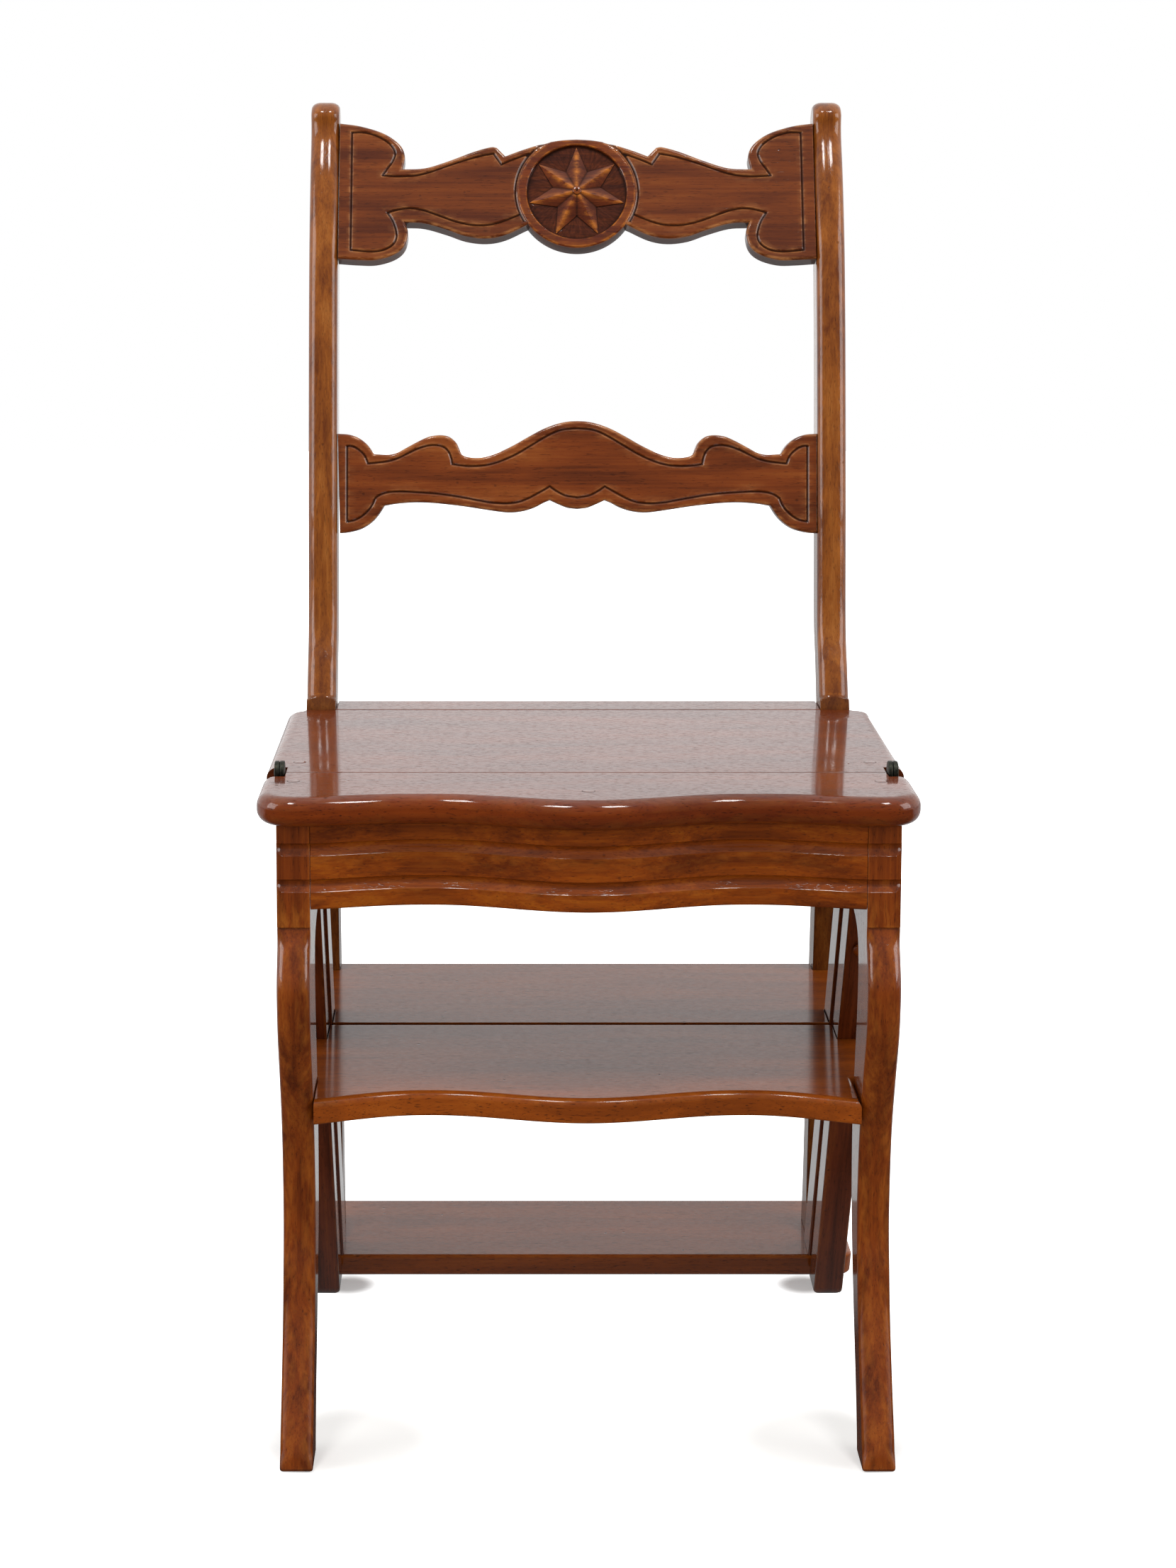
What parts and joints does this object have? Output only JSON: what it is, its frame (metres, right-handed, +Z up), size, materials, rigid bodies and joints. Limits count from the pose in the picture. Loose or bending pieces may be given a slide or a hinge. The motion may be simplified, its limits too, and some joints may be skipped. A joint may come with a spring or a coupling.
{
  "type": "library step chair",
  "caption": "Dining chair with a scrolled open back and serpentine seat whose rear half turns over on two side hinges to form a set of library steps.",
  "frame": {"origin": "middle of the bounding box's base, on the floor", "axes": "+Z up, -Y towards the front of the seat, +X to the right as seen from the front"},
  "size_m": [0.438, 0.493, 0.9125],
  "materials": {
    "polished_mahogany": "French polished, glossy",
    "worn_mahogany": "French polished, worn by feet and seat",
    "secondary_wood": "planed, unpolished",
    "dark_iron": "aged, dark"
  },
  "bodies": {
    "front_frame": {"front_leg_left": "polished_mahogany", "front_leg_right": "polished_mahogany", "apron": "polished_mahogany", "front_seat_board": "worn_mahogany", "front_stringer_left": "polished_mahogany", "front_stringer_right": "polished_mahogany", "front_tread": "worn_mahogany", "corner_block_left": "secondary_wood", "corner_block_right": "secondary_wood", "front_seat_plug_left": "worn_mahogany", "front_seat_plug_centre": "worn_mahogany", "front_seat_plug_right": "worn_mahogany", "stringer_button_left": "polished_mahogany", "stringer_button_right": "polished_mahogany", "front_hinge_strap_left": "dark_iron", "front_hinge_strap_right": "dark_iron", "hinge_pin_left": "dark_iron", "hinge_pin_right": "dark_iron", "front_strap_screw_1_left": "dark_iron", "front_strap_screw_2_left": "dark_iron", "front_strap_screw_1_right": "dark_iron", "front_strap_screw_2_right": "dark_iron"},
    "rear_frame": {"back_post_left": "polished_mahogany", "back_post_right": "polished_mahogany", "crest_rail": "polished_mahogany", "mid_rail": "polished_mahogany", "rear_seat_board": "worn_mahogany", "rear_seat_strip": "worn_mahogany", "rear_rail": "polished_mahogany", "seat_side_rail_left": "secondary_wood", "seat_side_rail_right": "secondary_wood", "rear_stringer_left": "polished_mahogany", "rear_stringer_right": "polished_mahogany", "rear_tread": "worn_mahogany", "bottom_tread": "worn_mahogany", "rear_seat_plug_left": "worn_mahogany", "rear_seat_plug_right": "worn_mahogany", "post_button_left": "polished_mahogany", "post_button_right": "polished_mahogany", "rear_hinge_strap_left": "dark_iron", "rear_hinge_strap_right": "dark_iron", "rear_strap_screw_1_left": "dark_iron", "rear_strap_screw_2_left": "dark_iron", "rear_strap_screw_1_right": "dark_iron", "rear_strap_screw_2_right": "dark_iron"}
  },
  "joints": [
    {"name": "seat_hinge", "type": "hinge", "parent": "front_frame", "child": "rear_frame", "pos_m": [0, -0.1455, 0.4564], "axis": [1, 0, 0], "range_deg": [0, 180]}
  ]
}
